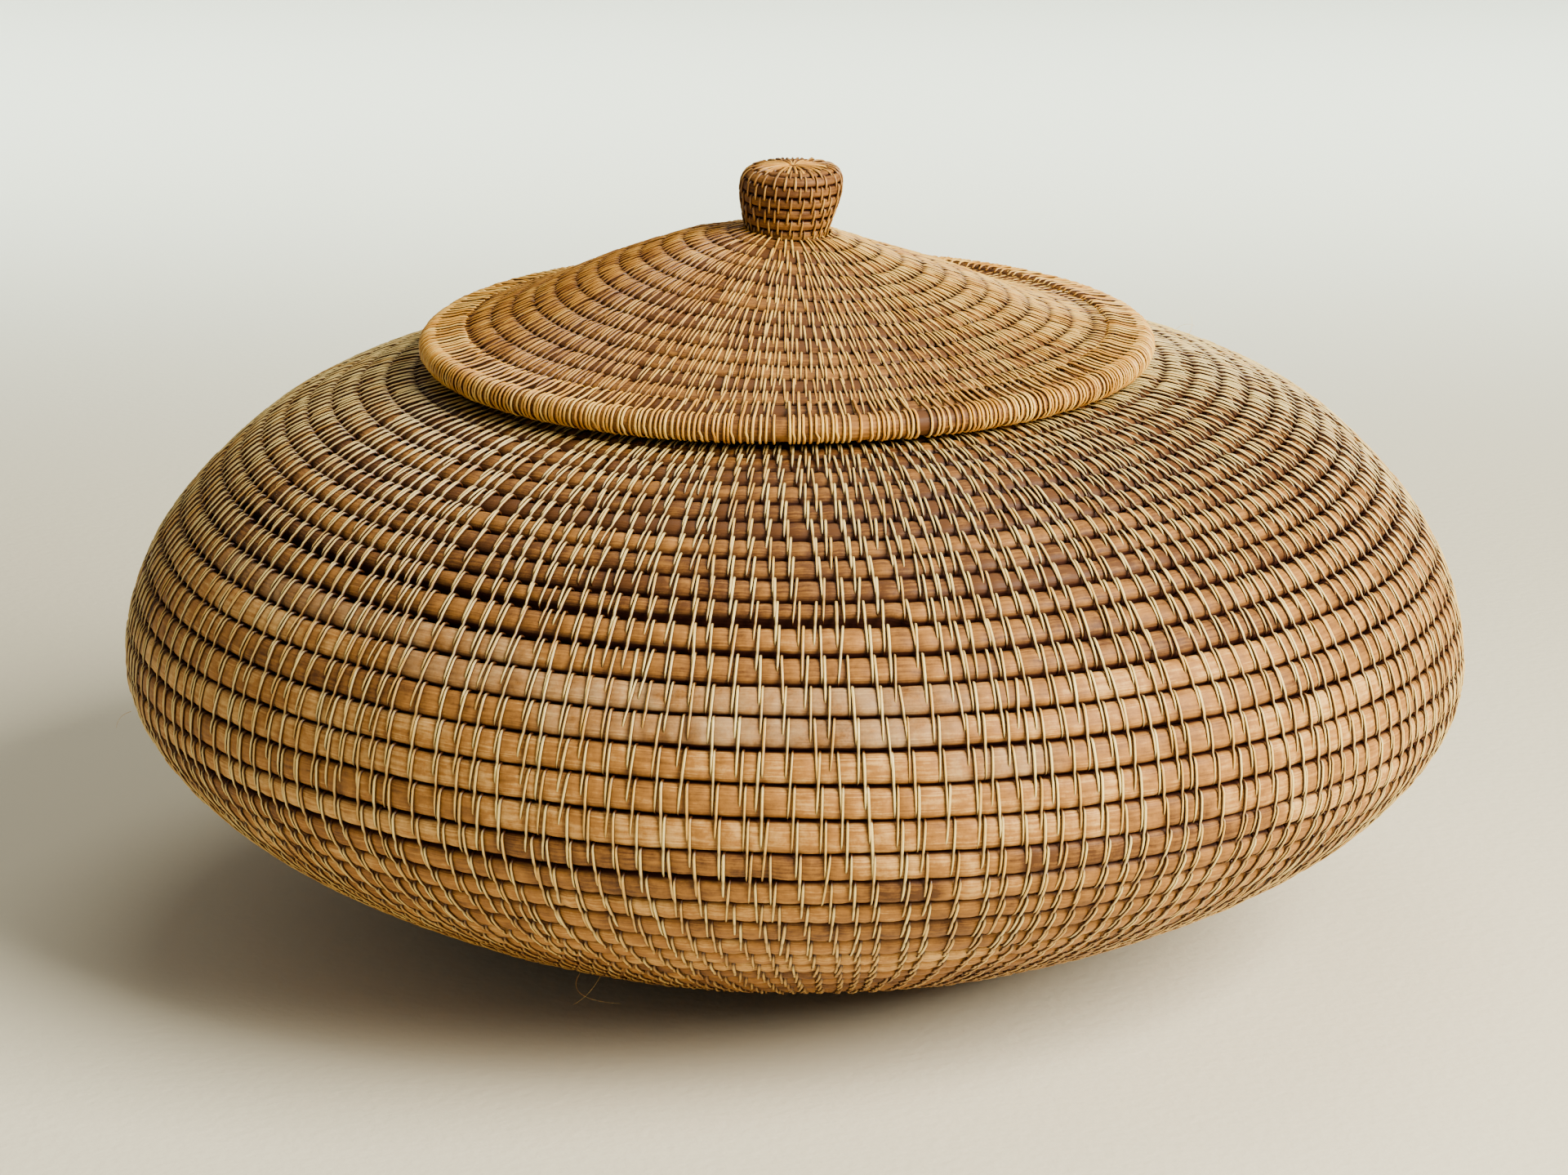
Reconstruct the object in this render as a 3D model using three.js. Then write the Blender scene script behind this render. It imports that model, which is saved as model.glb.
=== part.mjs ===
// A lidded basket of coiled cane: a squat round pot, a saucer-shaped lid with a thick
// bound rim, and a small knob. Millimetres, +Z up, the floor of the basket on z = 0.
//
// Such a basket is one long coil. Lengths of cane are laid end to end round and round,
// and each round, called a course, is sewn to the one before it. Here every length is a
// piece of its own, drawn as closed courses, because the coil rises only one course in a
// whole turn. The binding strips that sew it are finer than this model goes.
import * as THREE from "three";

// Coils
const bodyCourse = 9.3;          // height of one course of the basket
const bodyThickness = 7.4;       // from the bottom of a groove to the inside face
const lidCourse = 6.7;           // height of one course of the lid
const lidThickness = 4.6;
const knobCourse = 3.3;          // height of one course of the knob
const knobThickness = 3.2;
const courseCrest = 1.5;         // how far a course stands out beyond the sewn line
const grooveDepth = 2.2;         // how far the groove between courses is drawn in
const lidCrest = 1.1;
const lidGroove = 1.1;
const knobCrest = 0.6;
const knobGroove = 0.3;
const crestShares = [0.22, 0.78]; // where the full face of a course begins and ends
const seam = 0.3;                // space left between pieces that touch
const coursesPerLength = 3;      // rounds that one length of cane makes in the wall
const lidCoursesPerLength = 4;

// Basket, as radius and height of the sewn line
const floorRadius = 62;
const floorStartRadius = 26;
const heel = { radius: 117.5, height: 15.5 };
const lowerWall = { radius: 167.2, height: 40 };
const underBelly = { radius: 194.6, height: 63 };
const belly = { radius: 206.1, height: 88 };
const overBelly = { radius: 197.2, height: 122.6 };
const shoulder = { radius: 168.3, height: 154.6 };
const neck = { radius: 136.1, height: 170.8 };
const seatLevel = 177.1;         // the last courses lie level, as a seat for the lid
const seatMargin = 1.2;          // how far the level courses reach outside the lid's rim
const mouthRadius = 86.8;
const mouthRimThickness = 9.2;

// Lid, with its heights above the seat
const lidOffset = -3.3;          // the loose lid lies a little to one side
const lidRimRadius = 107.7;      // to the middle of the thick rim coil
const lidRimThickness = 10.2;
const rimWrapThickness = 0.9;
const rimWrapHalfOpening = 58;   // degrees, where the lid's edge enters the rim's binding
const lidEdgeHeight = 8.4;       // the dome runs in near the top of the rim
const lidSkirt = { radius: 83, height: 14.9 };
const lidShoulder = { radius: 58.7, height: 24.1 };
const lidCrown = { radius: 33.7, height: 33 };
const lidNeckHeight = 39.1;
const mouthPlay = 5;             // between the lid's inner ring and the mouth
const innerRingThickness = 6;
const innerRingCourse = 5.8;
const innerRingDepth = 12;       // how far the ring hangs below the seat

// Knob, with its heights above the lid's neck
const knobNeckRadius = 13.2;
const knobWidest = { radius: 15.6, height: 14.6 };
const knobEdge = { radius: 13.6, height: 18.4 };
const knobHeight = 20.4;
const knobTopRadius = 9.6;       // where the side coil gives way to the flat top

// Faces round the axis
const bodySides = 32;
const lidSides = 32;
const knobSides = 16;
const ropeCorners = 8;           // corners of a round coil seen end on
const wrapCorners = 9;           // corners along each face of the rim's binding

// Natural shades of cane, from bleached straw to smoked brown
const honey = 0xb98b52;
const straw = 0xc9a468;
const tan = 0xa97b47;
const umber = 0x8a5f33;
const wallShades = [tan, honey, umber, honey, tan, straw];
const lidShades = [straw, honey, tan];

const basket = new THREE.Group();
const lid = new THREE.Group();
basket.add(lid);

function canePiece(name, geometry, colour, parent) {
  const material = new THREE.MeshStandardMaterial({ color: colour, roughness: 0.72, metalness: 0 });
  const mesh = new THREE.Mesh(geometry, material);
  mesh.name = name;
  parent.add(mesh);
}

// A solid of revolution about Z, from an outline that starts and ends on the axis
function turnedFromAxis(outline, sides) {
  const geometry = new THREE.LatheGeometry(outline, sides);
  geometry.rotateX(Math.PI / 2);
  return geometry;
}

// The same, from an outline that closes on itself
function turned(outline, sides) {
  return turnedFromAxis([...outline, outline[0]], sides);
}

function at(radius, height) {
  return new THREE.Vector2(radius, height);
}

function through(points) {
  return new THREE.SplineCurve(points.map((point) => at(point.radius, point.height)));
}

// The point on a sewn line at share u of its length, moved out along the line's normal
// and forward along the line. Out is to the right of the way the line runs.
function offLine(line, u, out, forward = 0) {
  const share = Math.min(Math.max(u, 0), 1);
  const tangent = line.getTangentAt(share);
  const point = line.getPointAt(share);
  point.x += tangent.y * out + tangent.x * forward;
  point.y += -tangent.x * out + tangent.y * forward;
  return point;
}

// The outline of a run of courses on a line that holds `total` courses: a scalloped
// outer face and a plain inner face, with half a seam left free at each end.
function courseOutline(line, total, first, last, coil) {
  const outline = [offLine(line, first / total, -coil.groove, seam / 2)];
  for (let course = first; course < last; course += 1) {
    for (const share of coil.crests) {
      outline.push(offLine(line, (course + share) / total, coil.crest));
    }
    if (course + 1 < last) {
      outline.push(offLine(line, (course + 1) / total, -coil.groove));
    }
  }
  outline.push(offLine(line, last / total, -coil.groove, -seam / 2));
  outline.push(offLine(line, last / total, -coil.thickness, -seam / 2));
  outline.push(offLine(line, first / total, -coil.thickness, seam / 2));
  return outline;
}

// A round coil seen end on, with one flat facing the axis and one facing out
function ropeOutline(centre, radius) {
  const outline = [];
  for (let corner = 0; corner < ropeCorners; corner += 1) {
    const angle = (corner + 0.5) * 2 * Math.PI / ropeCorners;
    outline.push(at(centre.radius + radius * Math.cos(angle), centre.height + radius * Math.sin(angle)));
  }
  return outline;
}

// From the middle of a round coil to its flats
function ropeFlat(radius) {
  return radius * Math.cos(Math.PI / ropeCorners);
}

// The floor: two lengths of cane wound flat from the middle. Its courses are worn flat
// underneath, so the basket stands on them.
const flatCoil = { crest: courseCrest, groove: grooveDepth, thickness: bodyThickness, crests: crestShares };
const startLine = new THREE.LineCurve(at(0, courseCrest), at(floorStartRadius, courseCrest));
const startCourses = Math.round(floorStartRadius / bodyCourse);
const startOutline = courseOutline(startLine, startCourses, 0, startCourses, flatCoil);
startOutline[0] = at(0, courseCrest + grooveDepth);
startOutline[startOutline.length - 1] = at(0, courseCrest + bodyThickness);
canePiece("floor_start_coil", turnedFromAxis(startOutline, bodySides), umber, basket);

const floorLine = new THREE.LineCurve(at(floorStartRadius, courseCrest), at(floorRadius, courseCrest));
const floorCourses = Math.round((floorRadius - floorStartRadius) / bodyCourse);
const floorOutline = courseOutline(floorLine, floorCourses, 0, floorCourses, flatCoil);
canePiece("floor_outer_coil", turned(floorOutline, bodySides), tan, basket);

// The wall: lengths of cane from the floor's edge round the belly to the seat of the lid
const wallCoil = { crest: courseCrest, groove: grooveDepth, thickness: bodyThickness, crests: crestShares };
const mouthRimRadius = mouthRadius + ropeFlat(mouthRimThickness / 2);
const wallLine = through([
  { radius: floorRadius, height: courseCrest },
  heel,
  lowerWall,
  underBelly,
  belly,
  overBelly,
  shoulder,
  neck,
  { radius: lidRimRadius + seatMargin, height: seatLevel },
  { radius: mouthRimRadius + ropeFlat(mouthRimThickness / 2) + seam / 2, height: seatLevel },
]);
const wallCourses = Math.round(wallLine.getLength() / bodyCourse);
const wallLengths = Math.ceil(wallCourses / coursesPerLength);
let seatHeight = seatLevel;
for (let length = 0; length < wallLengths; length += 1) {
  const first = length * coursesPerLength;
  const last = Math.min(first + coursesPerLength, wallCourses);
  const outline = courseOutline(wallLine, wallCourses, first, last, wallCoil);
  if (first === 0) {
    // The first length stands square against the edge of the floor
    outline[0].x = floorRadius + seam / 2;
    outline.at(-1).x = outline[0].x;
  }
  if (last === wallCourses) {
    // The lid stands on the highest course of the last length
    seatHeight = Math.max(...outline.map((point) => point.y));
  }
  const name = `wall_length_${String(length + 1).padStart(2, "0")}`;
  canePiece(name, turned(outline, bodySides), wallShades[length % wallShades.length], basket);
}

// The mouth: a thicker bound coil that ends the wall
const mouthRim = { radius: mouthRimRadius, height: seatHeight - mouthRimThickness / 2 };
canePiece("mouth_rim", turned(ropeOutline(mouthRim, mouthRimThickness / 2), bodySides), umber, basket);

// The lid's own zero height is on the seat
lid.position.set(lidOffset, 0, seatHeight);

// The lid's rim: a thick core coil inside a binding that is open towards the lid's edge
const rimCentre = { radius: lidRimRadius, height: seam + lidRimThickness / 2 };
const rimCoreRadius = lidRimThickness / 2 - rimWrapThickness - seam;
canePiece("lid_rim_core", turned(ropeOutline(rimCentre, rimCoreRadius), lidSides), tan, lid);

function wrapFace(radius) {
  const face = [];
  const sweep = 360 - 2 * rimWrapHalfOpening;
  for (let corner = 0; corner < wrapCorners; corner += 1) {
    const degrees = 180 + rimWrapHalfOpening + sweep * corner / (wrapCorners - 1);
    const angle = THREE.MathUtils.degToRad(degrees);
    face.push(at(rimCentre.radius + radius * Math.cos(angle), rimCentre.height + radius * Math.sin(angle)));
  }
  return face;
}

const wrapOutside = wrapFace(lidRimThickness / 2);
const wrapInside = wrapFace(lidRimThickness / 2 - rimWrapThickness).reverse();
canePiece("lid_rim_wrap", turned([...wrapOutside, ...wrapInside], lidSides), straw, lid);

// The lid's dome: lengths of finer cane from the rim in to the knob
const lidCoil = { crest: lidCrest, groove: lidGroove, thickness: lidThickness, crests: crestShares };
const lidEdgeRadius = lidRimRadius - ropeFlat(rimCoreRadius) - seam;
const lidLine = through([
  { radius: lidEdgeRadius, height: lidEdgeHeight },
  lidSkirt,
  lidShoulder,
  lidCrown,
  { radius: knobNeckRadius, height: lidNeckHeight },
]);
const lidCourses = Math.round(lidLine.getLength() / lidCourse);
const lidLengths = Math.ceil(lidCourses / lidCoursesPerLength);
const underside = [];
for (let length = 0; length < lidLengths; length += 1) {
  const first = length * lidCoursesPerLength;
  const last = Math.min(first + lidCoursesPerLength, lidCourses);
  const outline = courseOutline(lidLine, lidCourses, first, last, lidCoil);
  if (first === 0) {
    // The outermost course stands square against the rim's core
    outline[0].x = lidEdgeRadius;
    outline.at(-1).x = lidEdgeRadius;
  }
  if (last === lidCourses) {
    // The innermost course stands square against the foot of the knob
    outline.at(-3).x = knobNeckRadius + seam / 2;
    outline.at(-2).x = outline.at(-3).x;
  }
  underside.push(outline.at(-1), outline.at(-2));
  canePiece(`lid_length_${length + 1}`, turned(outline, lidSides), lidShades[length % lidShades.length], lid);
}

// Height of the lid's underside at a radius
function undersideAt(radius) {
  for (let index = 0; index + 1 < underside.length; index += 1) {
    const outer = underside[index];
    const inner = underside[index + 1];
    if (radius <= outer.x && radius >= inner.x) {
      const share = (outer.x - radius) / (outer.x - inner.x);
      return outer.y + share * (inner.y - outer.y);
    }
  }
  return underside[0].y;
}

// The ring under the lid that drops into the mouth and keeps the lid from sliding off
const ringOuter = mouthRadius - mouthPlay;
const ringInner = ringOuter - innerRingThickness;
const ringTop = undersideAt(ringOuter) - seam;
const ringCourses = Math.round((ringTop + innerRingDepth) / innerRingCourse);
const ringStep = (ringTop + innerRingDepth) / ringCourses;
const ringOutline = [at(ringInner, -innerRingDepth)];
for (let course = 0; course < ringCourses; course += 1) {
  ringOutline.push(at(ringOuter - lidCrest, course * ringStep - innerRingDepth));
  ringOutline.push(at(ringOuter, (course + 0.5) * ringStep - innerRingDepth));
}
ringOutline.push(at(ringOuter - lidCrest, ringTop));
ringOutline.push(at(ringInner, undersideAt(ringInner) - seam));
canePiece("lid_inner_ring", turned(ringOutline, lidSides), umber, lid);

// The knob: the fine coil that the lid was started with. It is wound flat for the top and
// turned down for the side, and its foot stands inside the innermost course of the dome.
const knobCoil = { crest: knobCrest, groove: knobGroove, thickness: knobThickness, crests: [0.5] };
const knobFootRadius = knobNeckRadius - seam / 2 - knobCrest;
const knobLine = through([
  { radius: knobFootRadius, height: lidNeckHeight - lidThickness },
  { radius: knobFootRadius, height: lidNeckHeight },
  {
    radius: (knobFootRadius + knobWidest.radius - knobCrest) / 2,
    height: lidNeckHeight + knobWidest.height / 2,
  },
  { radius: knobWidest.radius - knobCrest, height: lidNeckHeight + knobWidest.height },
  { radius: knobEdge.radius, height: lidNeckHeight + knobEdge.height },
  { radius: knobTopRadius, height: lidNeckHeight + knobHeight - knobCrest },
]);
const knobCourses = Math.round(knobLine.getLength() / knobCourse);
const knobSplit = Math.floor(knobCourses / 2);
const knobSide = courseOutline(knobLine, knobCourses, 0, knobSplit, knobCoil);
const knobShoulder = courseOutline(knobLine, knobCourses, knobSplit, knobCourses, knobCoil);
canePiece("knob_side_coil", turned(knobSide, knobSides), umber, lid);
canePiece("knob_shoulder_coil", turned(knobShoulder, knobSides), tan, lid);

// The flat top of the knob, where the coil begins
const topEdge = knobShoulder.at(-3);
const topInner = knobShoulder.at(-2);
const topOutline = [
  at(0, topInner.y),
  at(topInner.x - seam, topInner.y),
  at(topEdge.x - seam, topEdge.y),
  at(topEdge.x - knobCourse, lidNeckHeight + knobHeight),
  at(0, lidNeckHeight + knobHeight),
];
canePiece("knob_top_coil", turnedFromAxis(topOutline, knobSides), honey, lid);

export default basket;
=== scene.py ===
import math
import bpy
import numpy as np
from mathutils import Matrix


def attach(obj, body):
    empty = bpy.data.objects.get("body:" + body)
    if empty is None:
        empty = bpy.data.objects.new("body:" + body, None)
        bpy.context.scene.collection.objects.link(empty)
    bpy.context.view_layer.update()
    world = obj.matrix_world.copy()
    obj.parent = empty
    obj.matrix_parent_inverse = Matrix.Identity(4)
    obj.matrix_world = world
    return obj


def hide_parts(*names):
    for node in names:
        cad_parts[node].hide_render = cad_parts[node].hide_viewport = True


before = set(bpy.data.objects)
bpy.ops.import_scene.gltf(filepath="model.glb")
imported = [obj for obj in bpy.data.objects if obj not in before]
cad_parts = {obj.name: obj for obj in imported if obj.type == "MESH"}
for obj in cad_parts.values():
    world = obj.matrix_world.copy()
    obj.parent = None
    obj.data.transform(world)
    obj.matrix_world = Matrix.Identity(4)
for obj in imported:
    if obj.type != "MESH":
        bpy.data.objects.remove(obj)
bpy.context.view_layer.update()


# The floor
# The basket is one long coil of cane core, begun in the middle of the floor and wound flat for
# seven rounds, or courses. Each course is sewn to the one before it with strips of split cane.
FLOOR_RADIUS = 0.062
FLOOR_START_RADIUS = 0.026
FLOOR_LINE_HEIGHT = 0.0015
FLOOR_COURSES = 7
FLOOR_START_COURSES = 3
BODY_COURSES = 43


def curve_through(stations):
    """Close points on a smooth line through stations that are given as radius and height."""
    padded = [np.array(station) for station in [stations[0], *stations, stations[-1]]]
    points = []
    for index in range(len(stations) - 1):
        before, start, end, after = padded[index:index + 4]
        leave = (end - before) / 2
        reach = (after - start) / 2
        for share in np.linspace(0, 1, 60, endpoint=False):
            cubic = (2 * start - 2 * end + leave + reach) * share ** 3
            square = (3 * end - 3 * start - 2 * leave - reach) * share ** 2
            points.append(cubic + square + leave * share + start)
    points.append(padded[-1])
    return np.array(points)


def line_lengths(points):
    """How far along a line each of its points is."""
    steps = np.hypot(*np.diff(points, axis=0).T)
    return np.concatenate([[0], np.cumsum(steps)])


class Coil:
    """A coil along a line. Each mark is a course number and how far along the line it lies."""

    def __init__(self, line, marks, crest, depth, middle=(0, 0, 0), fullness=(), hollow=()):
        lengths = line_lengths(line)
        slopes = np.gradient(line, lengths, axis=0)
        slopes /= np.hypot(slopes[:, 0], slopes[:, 1])[:, None]
        self.lengths = lengths
        self.line = line
        self.slopes = slopes
        self.marks = marks
        self.first = marks[0][0]
        self.last = marks[-1][0]
        self.crest = crest
        self.depth = depth
        self.middle = middle
        self.fullness = fullness
        self.hollow = hollow

    def along(self, course):
        """Distance along the line at which a course number lies."""
        return np.interp(course, [mark[0] for mark in self.marks], [mark[1] for mark in self.marks])

    def course_at(self, along):
        """The course number at a distance along the line."""
        return float(np.interp(along, [mark[1] for mark in self.marks], [mark[0] for mark in self.marks]))

    def radius(self, course):
        return np.interp(self.along(course), self.lengths, self.line[:, 0])

    def pitch(self, course):
        return self.along(course + 0.5) - self.along(course - 0.5)

    def place(self, course, azimuth, forward, out):
        """A point near the line: forward of a course number, and out from the line."""
        along = self.along(course)
        slope_r = np.interp(along, self.lengths, self.slopes[:, 0])
        slope_z = np.interp(along, self.lengths, self.slopes[:, 1])
        size = np.hypot(slope_r, slope_z)
        slope_r = slope_r / size
        slope_z = slope_z / size
        radius = np.interp(along, self.lengths, self.line[:, 0]) + slope_r * forward + slope_z * out
        height = np.interp(along, self.lengths, self.line[:, 1]) + slope_z * forward - slope_r * out
        radius = np.maximum(radius, 0.0002)
        if self.fullness:
            radii, amounts = zip(*self.fullness)
            height = height - np.interp(radius, radii, amounts) * np.cos(azimuth)
        if self.hollow:
            towards, dips = self.hollow
            radii, amounts = zip(*dips)
            facing = np.clip(np.cos(azimuth - towards), 0, 1) ** 2
            height = height - np.interp(radius, radii, amounts) * facing
        return sag(np.stack([self.middle[0] + radius * np.cos(azimuth),
                             self.middle[1] + radius * np.sin(azimuth),
                             height + self.middle[2]], axis=-1))


LEAN_START = 0.085
LEAN_RISE = 0.085
LEAN_LEFT = 0.0105
LEAN_FRONT = 0.0214


def sag(points):
    """Above the belly the handmade basket leans a little to the front and the left."""
    share = np.clip((points[..., 2] - LEAN_START) / LEAN_RISE, 0, 1)
    share = share * share * (3 - 2 * share)
    rise = share * (LEAN_LEFT * points[..., 0] + LEAN_FRONT * points[..., 1])
    height = np.maximum(points[..., 2] + rise, 0)
    return np.concatenate([points[..., :2], height[..., None]], axis=-1)


def azimuth_of(course):
    """The coil winds clockwise seen from above, and starts each course at the back."""
    return math.pi / 2 - 2 * math.pi * course


def cane_mesh(name, canes, tone, depth, looped=False, wear=0.0):
    """One mesh of many canes. A cane is a row of rings, and a ring is a row of corners."""
    count, rings, corners = canes.shape[:3]
    index = np.arange(count * rings * corners).reshape(count, rings, corners)
    spread = np.zeros((count, rings))
    spread[:, 1:] = np.cumsum(np.linalg.norm(np.diff(canes[:, :, 0], axis=1), axis=-1), axis=1)
    girth = np.linalg.norm(canes[:, rings // 2, 0] - canes[:, rings // 2, corners // 2], axis=-1).mean() * 3
    if looped:
        index = np.concatenate([index, index[:, :1]], axis=1)
        spread = np.concatenate([spread, spread[:, -1:] * rings / (rings - 1)], axis=1)
    here = index[:, :-1]
    there = index[:, 1:]
    quads = np.stack([here, np.roll(here, -1, 2), np.roll(there, -1, 2), there], axis=-1)
    quads = quads.reshape(-1, 4)
    spans = np.repeat(np.stack([spread[:, :-1], spread[:, 1:]], axis=-1)[:, :, None], corners, axis=2)
    turns = np.broadcast_to(np.arange(corners) / corners * girth, spans.shape[:3])
    next_turns = turns + girth / corners
    grain = np.stack([
        np.stack([spans[..., 0], turns], axis=-1),
        np.stack([spans[..., 0], next_turns], axis=-1),
        np.stack([spans[..., 1], next_turns], axis=-1),
        np.stack([spans[..., 1], turns], axis=-1),
    ], axis=-2)
    shift = np.random.default_rng(len(name) + count).random((count, 2)) * 0.9
    grain = grain + shift[:, None, None, None]
    points = canes.reshape(-1, 3)
    first, second, third, fourth = (points[quads[:, corner]] for corner in range(4))
    volume = np.einsum("ij,ij->i", first + third, np.cross(third - first, fourth - second)).sum()
    faces = quads.tolist()
    if not looped:
        starts = index[:, 0, ::-1]
        ends = index[:, -1]
        faces += starts.tolist() + ends.tolist()
    mesh = bpy.data.meshes.new(name)
    if volume < 0:
        faces = [face[::-1] for face in faces]
        grain = grain[..., ::-1, :]
    mesh.from_pydata(points.tolist(), [], faces)
    flat_grain = grain.reshape(-1)
    loops = np.zeros(len(mesh.loops) * 2)
    loops[:len(flat_grain)] = flat_grain
    mesh.uv_layers.new(name="Grain").data.foreach_set("uv", loops)
    smooth = np.zeros(len(faces), dtype=bool)
    smooth[:len(quads)] = True
    mesh.polygons.foreach_set("use_smooth", smooth)
    for label, values in (("tone", tone), ("depth", depth), ("wear", wear)):
        layer = mesh.attributes.new(label, "FLOAT", "POINT")
        layer.data.foreach_set("value", np.broadcast_to(values, (count, rings, corners)).ravel())
    piece = bpy.data.objects.new(name, mesh)
    bpy.context.scene.collection.objects.link(piece)
    return piece


def slow_waves(along, lengths, chance):
    """A smooth wander between about -1 and 1."""
    total = np.zeros_like(along)
    for length in lengths:
        total += np.sin(2 * np.pi * (along / length + chance.random())) / len(lengths)
    return total


def rounded(angles, squareness):
    """Corners of a rounded square, as forward and out shares."""
    forward = np.sign(np.cos(angles)) * np.abs(np.cos(angles)) ** (2 / squareness)
    out = np.sign(np.sin(angles)) * np.abs(np.sin(angles)) ** (2 / squareness)
    return forward, out


STRETCH_FADE = 0.006


def stretches(turns, changes):
    """Adds up changes that each hold for one stretch of a coil, and fade at its ends."""
    total = np.zeros_like(turns)
    for start, end, amount in changes:
        total += amount * np.clip(np.minimum(turns - start, end - turns) / STRETCH_FADE, 0, 1)
    return total


CORE_FILL = 0.93
CORE_CORNERS = 16
CORE_SQUARENESS = 3.4
BUTT_GAP = 0.0002
SQUEEZE_DEPTH = 0.00045
SQUEEZE_REACH = 0.0012
SQUEEZE_CLEAR = 0.0007


def distance_to(places, turns):
    """How far each turn is from the nearest of some sorted places, in courses."""
    after = np.clip(np.searchsorted(places, turns), 1, len(places) - 1)
    return np.minimum(np.abs(turns - places[after - 1]), np.abs(turns - places[after]))


def wind_core(name, coil, first, last, shade, seed, step=0.0035, dark_stretches=(), thin=(), wear=(),
              stitches=(), squareness=CORE_SQUARENESS):
    """A length of core between two places in a coil, thinning out where the coil ends."""
    chance = np.random.default_rng(seed)
    around = 2 * math.pi * coil.radius((first + last) / 2)
    turns = np.linspace(first + BUTT_GAP, last - BUTT_GAP, int(around * (last - first) / step) + 24)
    squeezed = np.zeros(len(turns))
    if len(stitches):
        held = np.sort(np.concatenate([stitches, stitches - 1]))
        inside = held[(held > turns[0]) & (held < turns[-1])]
        clear = turns[distance_to(held, turns) * around > SQUEEZE_CLEAR]
        turns = np.sort(np.concatenate([clear, inside]))
        squeezed = np.exp(-(distance_to(held, turns) * around / SQUEEZE_REACH) ** 2)
    low = np.maximum(turns - 0.5, coil.first)
    high = np.minimum(turns + 0.5, coil.last)
    fullness = np.maximum(high - low, 0.02)
    middle = (low + high) / 2
    travel = np.concatenate([[0], np.cumsum(2 * math.pi * coil.radius(turns[1:]) * np.diff(turns))])
    wander = slow_waves(travel, (0.31, 0.173, 0.061), chance)
    swell = slow_waves(travel, (0.119, 0.047, 0.023), chance)
    room = np.maximum(coil.along(high) - coil.along(low), 0.0001)
    size = CORE_FILL / 2 * room * (1 + 0.03 * swell)
    deep = coil.depth / 2 * np.minimum(1, 0.5 + 0.5 * fullness)
    angles = (np.arange(CORE_CORNERS) + 0.5) * 2 * math.pi / CORE_CORNERS
    forward_share, out_share = rounded(angles, squareness)
    inner = np.clip(-3 * out_share, 0, 1)
    thinned = stretches(turns, thin)[:, None] * (1 - inner)
    spread = 1 + 0.14 * inner - thinned
    forward = size[:, None] * (forward_share * spread + thinned) + (wander * room * 0.03)[:, None]
    out = coil.crest - deep[:, None] + deep[:, None] * out_share
    out = out + (swell * coil.depth * 0.025)[:, None]
    out = out - SQUEEZE_DEPTH * squeezed[:, None] * np.clip(out_share, 0, 1)
    azimuth = np.repeat(azimuth_of(turns)[:, None], CORE_CORNERS, axis=1)
    canes = coil.place(middle[:, None], azimuth, forward, out)[None]
    tone = shade + 0.13 * slow_waves(travel, (0.9, 0.37, 0.15), chance) + stretches(turns, dark_stretches)
    # Painted shade for the depth attribute: dark in the crevices between courses, on the lower side of each
    # course and beside the strips that squeeze the core.
    lower = np.clip(-forward_share, 0, 1) ** 2
    crevice = np.clip(1 - np.abs(out_share) / 0.75, 0, 1)
    depth = 0.5 * (1 - np.abs(out_share)) ** 1.5 + 0.3 * crevice + 0.04 * lower
    depth = depth + 0.17 * squeezed[:, None] * np.clip(out_share, 0, 1)
    greying = stretches(turns, wear)[None, :, None]
    return cane_mesh(name, canes, tone[None, :, None], depth[None], wear=greying)


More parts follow.
